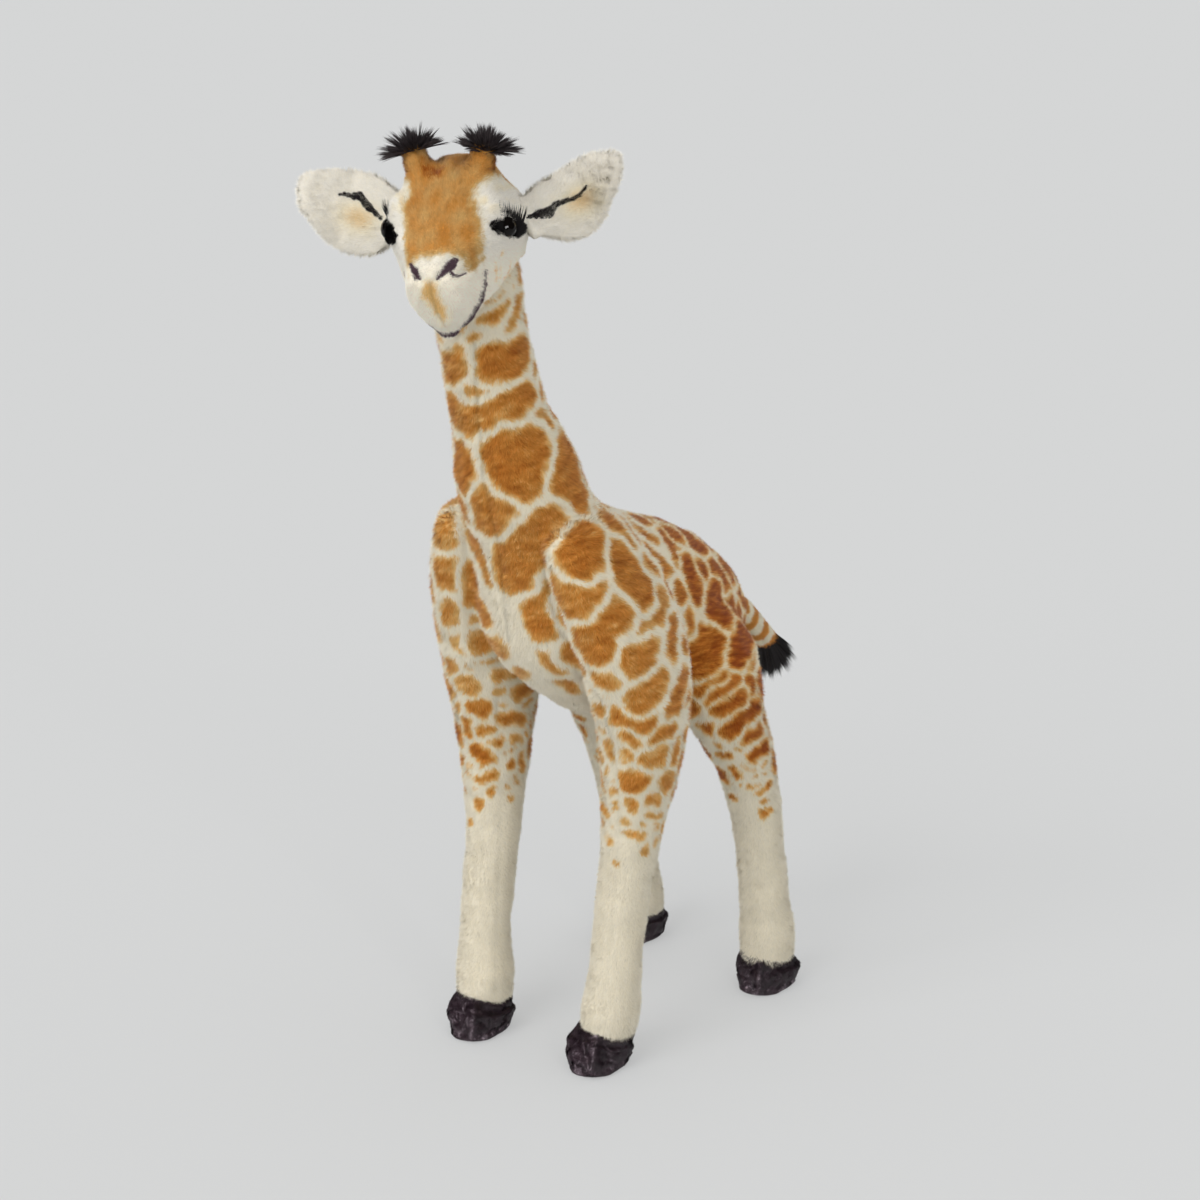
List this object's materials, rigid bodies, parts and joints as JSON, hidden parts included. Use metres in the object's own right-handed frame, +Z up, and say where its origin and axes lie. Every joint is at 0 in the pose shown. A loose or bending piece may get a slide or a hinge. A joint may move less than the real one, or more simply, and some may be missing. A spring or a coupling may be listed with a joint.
{
  "type": "plush giraffe",
  "caption": "Standing stuffed giraffe calf in patterned plush on an inner wire frame, with velour hooves, cupped ears, tufted horns and domed eyes; its neck, head, ears and tail move",
  "frame": {"origin": "On the floor under the middle of the toy's box", "axes": "+Z is up, -Y is the way the body faces and +X is the toy's left"},
  "size_m": [0.3418, 0.8006, 1.2048],
  "materials": {
    "coat_fur": "short plush pile, cream with brown patches",
    "cream_fur": "soft cream plush pile",
    "black_fur": "long black pile",
    "hoof_velour": "crushed dark velour",
    "eye_plastic": "polished black",
    "eye_felt": "matt black felt",
    "washer_plastic": "moulded white",
    "steel_wire": "drawn wire"
  },
  "bodies": {
    "body": {"torso": "coat_fur", "front_leg_left": "coat_fur", "front_leg_right": "coat_fur", "hind_leg_left": "coat_fur", "hind_leg_right": "coat_fur", "front_hoof_left": "hoof_velour", "front_hoof_right": "hoof_velour", "hind_hoof_left": "hoof_velour", "hind_hoof_right": "hoof_velour", "front_leg_wire_left": "steel_wire", "front_leg_wire_right": "steel_wire", "hind_leg_wire_left": "steel_wire", "hind_leg_wire_right": "steel_wire", "spine_wire": "steel_wire"},
    "neck": {"neck": "coat_fur", "neck_wire": "steel_wire"},
    "head": {"head": "coat_fur", "horn_left": "coat_fur", "horn_right": "coat_fur", "horn_tuft_left": "black_fur", "horn_tuft_right": "black_fur", "eye_left": "eye_plastic", "eye_right": "eye_plastic", "eye_rim_left": "eye_felt", "eye_rim_right": "eye_felt", "lashes_left": "black_fur", "lashes_right": "black_fur", "eye_washer_left": "washer_plastic", "eye_washer_right": "washer_plastic"},
    "ear_left": {"ear_left": "cream_fur"},
    "ear_right": {"ear_right": "cream_fur"},
    "tail": {"tail": "coat_fur", "tail_tuft": "black_fur"}
  },
  "joints": [
    {"name": "neck_turn", "type": "hinge", "parent": "body", "child": "neck", "pos_m": [-0.00026, -0.17352, 0.76497], "axis": [0, -0.4226, 0.9063], "range_deg": [-40, 20]},
    {"name": "head_nod", "type": "hinge", "parent": "neck", "child": "head", "pos_m": [-0.00026, -0.24868, 1.02535], "axis": [0.9259, 0.3741, 0.0523], "range_deg": [-10, 10]},
    {"name": "ear_left_fold", "type": "hinge", "parent": "head", "child": "ear_left", "pos_m": [0.0719, -0.23936, 1.09646], "axis": [-0.5109, -0.0581, 0.8577], "range_deg": [-20, 20], "stiffness_Nm_per_rad": 0.5},
    {"name": "ear_right_fold", "type": "hinge", "parent": "head", "child": "ear_right", "pos_m": [-0.06518, -0.29475, 1.08871], "axis": [0.074, 0.3153, 0.9461], "range_deg": [-20, 20], "stiffness_Nm_per_rad": 0.5},
    {"name": "tail_swing", "type": "hinge", "parent": "body", "child": "tail", "pos_m": [-0.00026, 0.27403, 0.50777], "axis": [1, 0, 0], "range_deg": [-20, 20], "stiffness_Nm_per_rad": 0.8}
  ]
}
